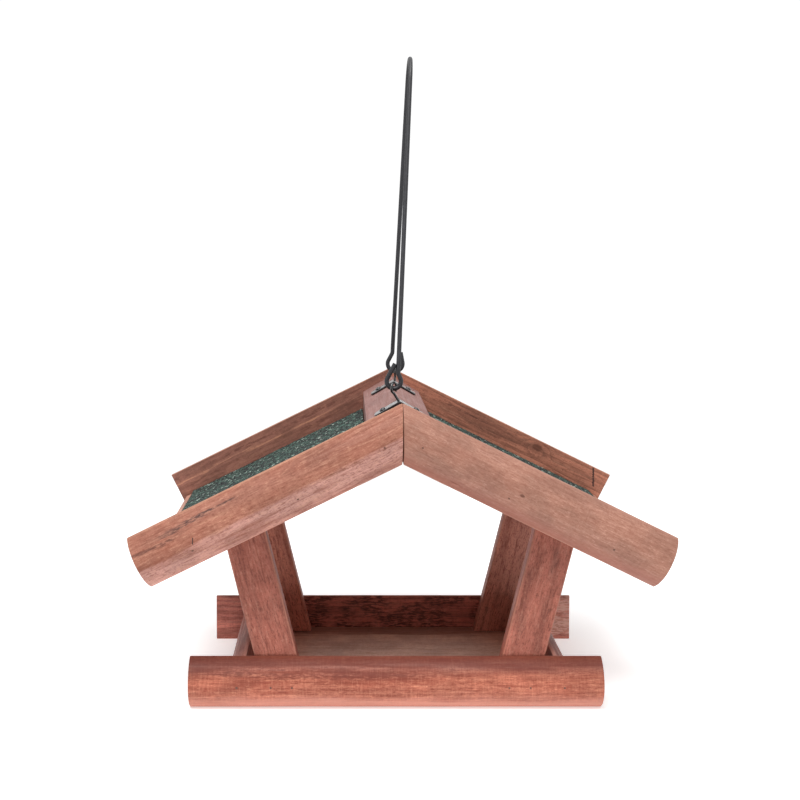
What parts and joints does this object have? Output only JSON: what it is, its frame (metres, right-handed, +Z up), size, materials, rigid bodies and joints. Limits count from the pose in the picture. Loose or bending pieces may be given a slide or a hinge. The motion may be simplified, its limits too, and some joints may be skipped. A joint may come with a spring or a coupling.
{
  "type": "hanging bird feeder",
  "caption": "Open timber bird feeder: a railed tray on raked posts under a felted gable roof, hung from a swinging wire bail.",
  "frame": {"origin": "on the underside of the tray, under the middle of the whole feeder", "axes": "+Z up, the front gable faces -Y, +X to the right of the front"},
  "size_m": [0.382, 0.231, 0.4785],
  "materials": {
    "stained_wood": "red-brown translucent stain on sawn softwood, satin",
    "pale_wood": "thin pinkish stain, matt",
    "plywood": "stained plywood with a raw edge, matt",
    "tray_floor": "grey-brown stained board, matt",
    "roofing_felt": "dark green mineral-granule roofing felt, matt",
    "black_metal": "glossy black",
    "coated_wire": "charcoal coating, semi-gloss",
    "nail_steel": "dull steel pins"
  },
  "bodies": {
    "feeder": {"floor_panel": "tray_floor", "front_eye": "black_metal", "front_left_bargeboard": "stained_wood", "front_left_corner_nail": "nail_steel", "front_left_lower_board_nail": "nail_steel", "front_left_post": "stained_wood", "front_left_post_nail_inner": "nail_steel", "front_left_post_nail_outer": "nail_steel", "front_left_ridge_nail": "nail_steel", "front_left_upper_board_nail": "nail_steel", "front_plate_screw_left": "black_metal", "front_plate_screw_right": "black_metal", "front_rail": "stained_wood", "front_right_bargeboard": "stained_wood", "front_right_corner_nail": "nail_steel", "front_right_lower_board_nail": "nail_steel", "front_right_post": "stained_wood", "front_right_post_nail_inner": "nail_steel", "front_right_post_nail_outer": "nail_steel", "front_right_ridge_nail": "nail_steel", "front_right_upper_board_nail": "nail_steel", "front_saddle_plate": "black_metal", "left_felt": "roofing_felt", "left_roof_panel": "plywood", "left_side_rail": "stained_wood", "rear_eye": "black_metal", "rear_left_bargeboard": "stained_wood", "rear_left_corner_nail": "nail_steel", "rear_left_lower_board_nail": "nail_steel", "rear_left_post": "stained_wood", "rear_left_post_nail_inner": "nail_steel", "rear_left_post_nail_outer": "nail_steel", "rear_left_ridge_nail": "nail_steel", "rear_left_upper_board_nail": "nail_steel", "rear_plate_screw_left": "black_metal", "rear_plate_screw_right": "black_metal", "rear_rail": "stained_wood", "rear_right_bargeboard": "stained_wood", "rear_right_corner_nail": "nail_steel", "rear_right_lower_board_nail": "nail_steel", "rear_right_post": "stained_wood", "rear_right_post_nail_inner": "nail_steel", "rear_right_post_nail_outer": "nail_steel", "rear_right_ridge_nail": "nail_steel", "rear_right_upper_board_nail": "nail_steel", "rear_saddle_plate": "black_metal", "ridge_beam": "pale_wood", "right_felt": "roofing_felt", "right_roof_panel": "plywood", "right_side_rail": "stained_wood"},
    "bail": {"bail": "coated_wire"}
  },
  "joints": [
    {"name": "bail_swing", "type": "hinge", "parent": "feeder", "child": "bail", "pos_m": [-0.0013, 0, 0.2357], "axis": [0.0527, 0.9986, 0], "range_deg": [-102.65, 97.35]}
  ]
}
